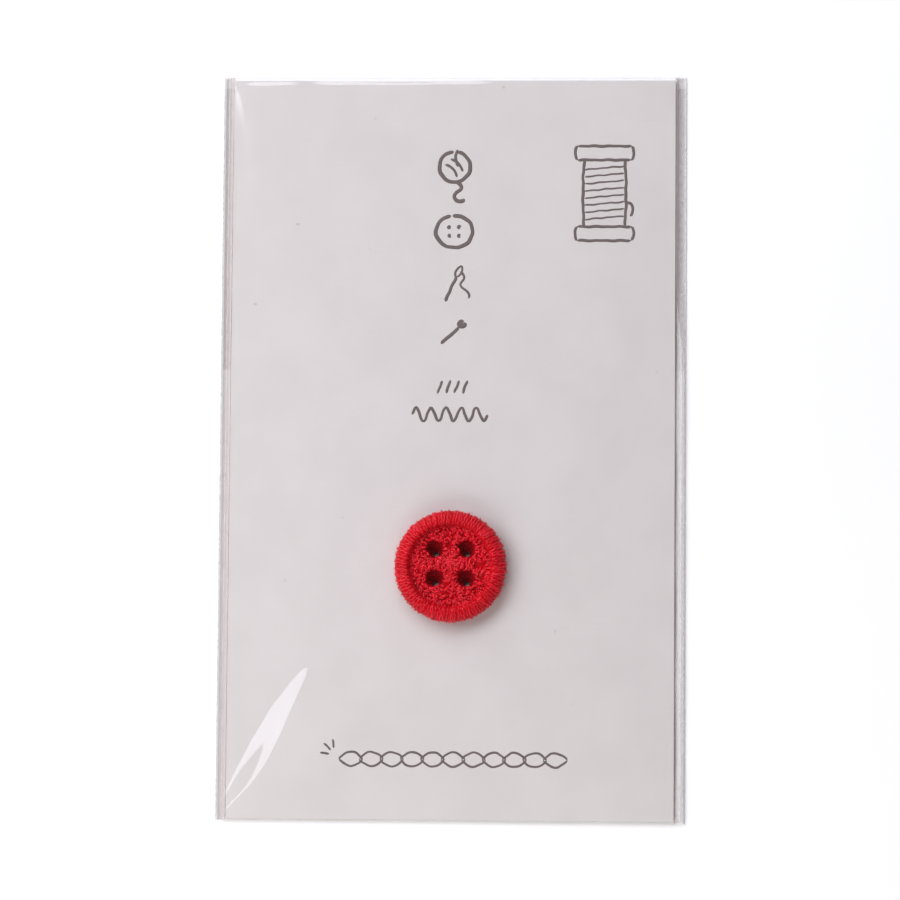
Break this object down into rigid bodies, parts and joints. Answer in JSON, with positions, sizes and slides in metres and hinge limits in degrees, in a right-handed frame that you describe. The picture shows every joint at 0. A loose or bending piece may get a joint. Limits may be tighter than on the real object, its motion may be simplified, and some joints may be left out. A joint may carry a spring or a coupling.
{
  "type": "sew-on button on a card in a clear film bag",
  "caption": "Four-hole embroidered sew-on button set on an off-white card, packed in a clear film bag with welded sides and a glued rear flap.",
  "frame": {"origin": "on the surface that the pack lies on, under the middle of the bag", "axes": "+X to the right across the card's face, +Y along the card towards the bag's top fold, +Z out of the card's face"},
  "size_m": [0.0628, 0.1006, 0.0036],
  "materials": {
    "card_board": "matte",
    "red_thread": "satin",
    "clear_glue": "gloss",
    "clear_film": "gloss"
  },
  "bodies": {
    "root": {"backing_card": "card_board", "button": "red_thread", "glue_dot": "clear_glue", "film_bag": "clear_film", "flap_adhesive": "clear_glue"}
  },
  "joints": []
}
